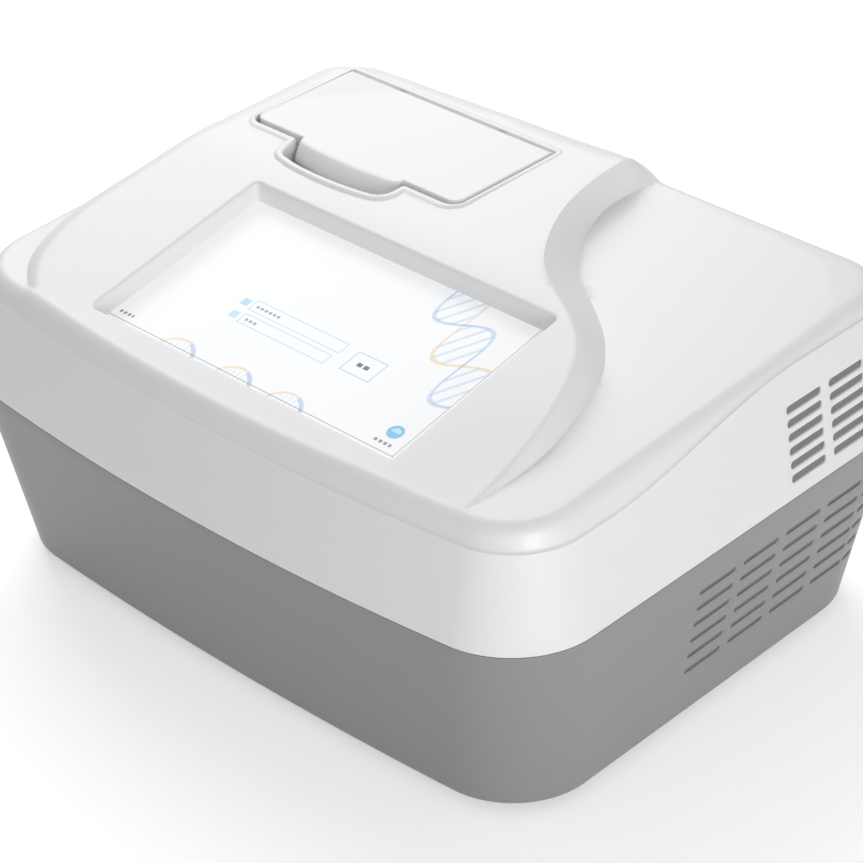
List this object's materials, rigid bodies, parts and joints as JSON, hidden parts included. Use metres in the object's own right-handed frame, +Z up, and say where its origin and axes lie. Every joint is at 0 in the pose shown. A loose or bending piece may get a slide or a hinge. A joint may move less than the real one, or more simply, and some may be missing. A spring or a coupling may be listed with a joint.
{
  "type": "real-time pcr machine",
  "caption": "Bench-top real-time PCR machine: tapered grey tub, white shell with a raised deck, recessed touch screen, hinged heated sample lid over a well block, side vents.",
  "frame": {"origin": "under the middle of the case, on the surface that the feet stand on", "axes": "+X to the right of someone facing the screen, +Y to the back, +Z up"},
  "size_m": [0.45, 0.3552, 0.226],
  "materials": {
    "shell_white": "fine satin moulding",
    "tub_grey": "fine satin moulding",
    "rubber_black": "matte",
    "plastic_dark": "matte",
    "sheet_steel": "brushed",
    "aluminium_plain": "bead blasted",
    "screen_white": "lit touch screen behind clear glass",
    "ceramic_white": "matte",
    "board_green": "solder mask",
    "filter_glass": "polished",
    "silicone_orange": "matte",
    "fibre_black": "braided sleeve"
  },
  "bodies": {
    "case": {"upper_shell": "shell_white", "block_deck": "shell_white", "base_tub": "tub_grey", "foot_front_left": "rubber_black", "foot_front_right": "rubber_black", "foot_back_left": "rubber_black", "foot_back_right": "rubber_black", "display_panel": "plastic_dark", "fan_frame_1": "plastic_dark", "fan_frame_2": "plastic_dark", "optics_housing": "plastic_dark", "wheel_motor": "plastic_dark", "lamp_module": "plastic_dark", "detector_module": "plastic_dark", "fibre_bar": "plastic_dark", "mains_inlet": "plastic_dark", "chassis_plate": "sheet_steel", "display_bracket": "sheet_steel", "lid_keeper_left": "sheet_steel", "lid_keeper_right": "sheet_steel", "hinge_pin": "sheet_steel", "hinge_bracket_left": "sheet_steel", "hinge_bracket_right": "sheet_steel", "sink_stand": "sheet_steel", "motor_bracket": "sheet_steel", "power_supply": "sheet_steel", "rear_io_plate": "sheet_steel", "usb_port_1": "sheet_steel", "usb_port_2": "sheet_steel", "network_port": "sheet_steel", "io_screw_left": "sheet_steel", "io_screw_right": "sheet_steel", "well_block": "aluminium_plain", "heat_sink": "aluminium_plain", "processor_cooler": "aluminium_plain", "touch_glass": "screen_white", "peltier_1": "ceramic_white", "peltier_2": "ceramic_white", "peltier_3": "ceramic_white", "main_board": "board_green", "fibre_bundle": "fibre_black"},
    "lid": {"lid_cover": "shell_white", "lid_liner": "plastic_dark", "lid_magnet_left": "plastic_dark", "lid_magnet_right": "plastic_dark", "lid_spring_front_left": "sheet_steel", "lid_spring_front_right": "sheet_steel", "lid_spring_back_left": "sheet_steel", "lid_spring_back_right": "sheet_steel"},
    "heated_plate": {"heated_plate": "aluminium_plain", "heater_mat": "silicone_orange"},
    "fan_1": {"fan_rotor_1": "plastic_dark"},
    "fan_2": {"fan_rotor_2": "plastic_dark"},
    "filter_wheel": {"filter_wheel": "plastic_dark", "filter_1": "filter_glass", "filter_2": "filter_glass", "filter_3": "filter_glass", "filter_4": "filter_glass"},
    "rocker": {"power_rocker": "rubber_black"}
  },
  "joints": [
    {"name": "lid_hinge", "type": "hinge", "parent": "case", "child": "lid", "pos_m": [-0.0858, 0.116, 0.22251], "axis": [-1, 0, 0], "range_deg": [0, 80]},
    {"name": "heated_plate_slide", "type": "slide", "parent": "lid", "child": "heated_plate", "axis": [0, 0, 1], "range_m": [0, 0.003], "stiffness_N_per_m": 2000, "springref_m": -0.005, "deforming": ["lid_spring_front_left", "lid_spring_front_right", "lid_spring_back_left", "lid_spring_back_right"]},
    {"name": "fan_1_spin", "type": "hinge", "parent": "case", "child": "fan_1", "pos_m": [-0.1163, 0.1213, 0.13921], "axis": [0, 1, 0], "continuous": true},
    {"name": "fan_2_spin", "type": "hinge", "parent": "case", "child": "fan_2", "pos_m": [-0.0553, 0.1213, 0.13921], "axis": [0, 1, 0], "continuous": true},
    {"name": "filter_wheel_turn", "type": "hinge", "parent": "case", "child": "filter_wheel", "pos_m": [-0.105, -0.072, 0.0614], "axis": [1, 0, 0], "continuous": true},
    {"name": "power_rocker_tilt", "type": "hinge", "parent": "case", "child": "rocker", "pos_m": [0.132, 0.1714, 0.07723], "axis": [-1, 0, 0], "range_deg": [0, 16]}
  ]
}
